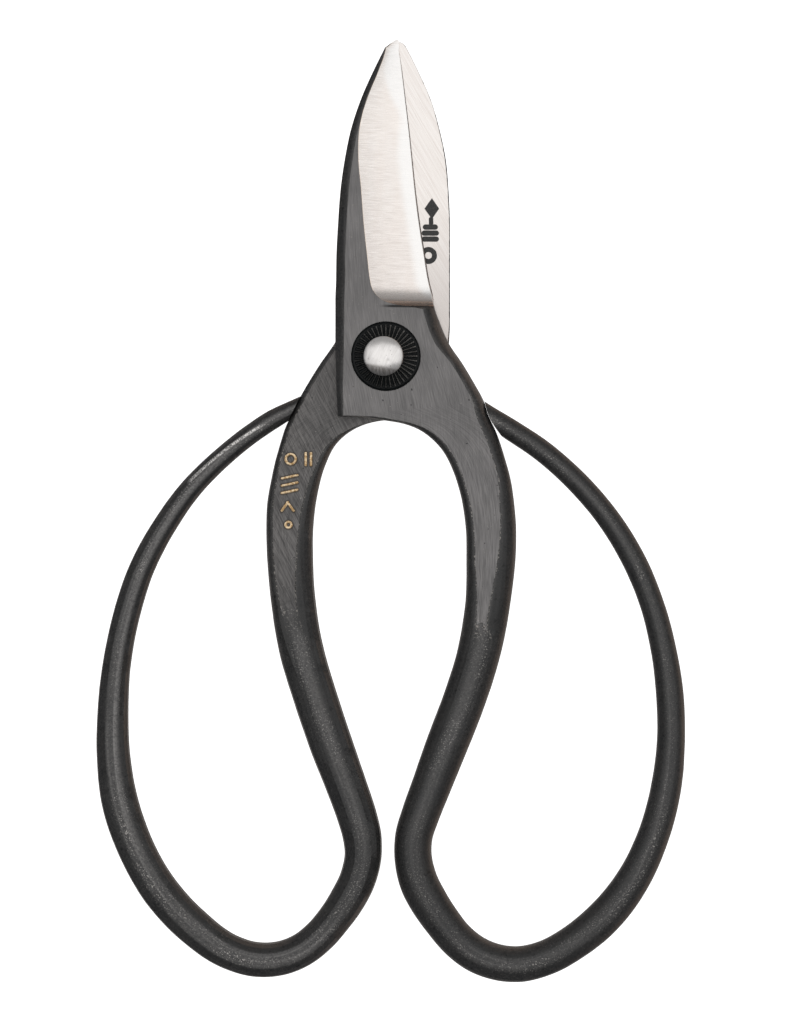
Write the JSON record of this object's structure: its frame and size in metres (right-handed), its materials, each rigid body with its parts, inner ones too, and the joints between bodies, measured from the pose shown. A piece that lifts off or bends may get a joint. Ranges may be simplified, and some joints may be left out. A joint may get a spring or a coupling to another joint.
{
  "type": "floral snips",
  "caption": "Hand-forged flower snips: two black arms with short bevelled blades and large open finger bows, crossing on a rivet with a ribbed washer under each head.",
  "frame": {"origin": "centre of the rivet's flat rear end, on the pivot axis, which is the lowest point when the snips lie on their back", "axes": "+Y from the pivot to the blade tips, +Z along the pivot axis out of the front face, +X to the right seen from the front"},
  "size_m": [0.1129, 0.1807, 0.0134],
  "materials": {
    "front_arm_forged": "black forged scale with ground flats",
    "back_arm_forged": "black forged scale with ground flats",
    "rivet_steel": "satin polished",
    "washer_blued": "blued, semi-gloss"
  },
  "bodies": {
    "back_half": {"back_arm": "back_arm_forged", "pivot_rivet": "rivet_steel", "front_washer": "washer_blued", "rear_washer": "washer_blued"},
    "front_half": {"front_arm": "front_arm_forged"}
  },
  "joints": [
    {"name": "blades_pivot", "type": "hinge", "parent": "back_half", "child": "front_half", "pos_m": [0, 0, 0.0065], "axis": [0, 0, 1], "range_deg": [-1.1, 55]}
  ]
}
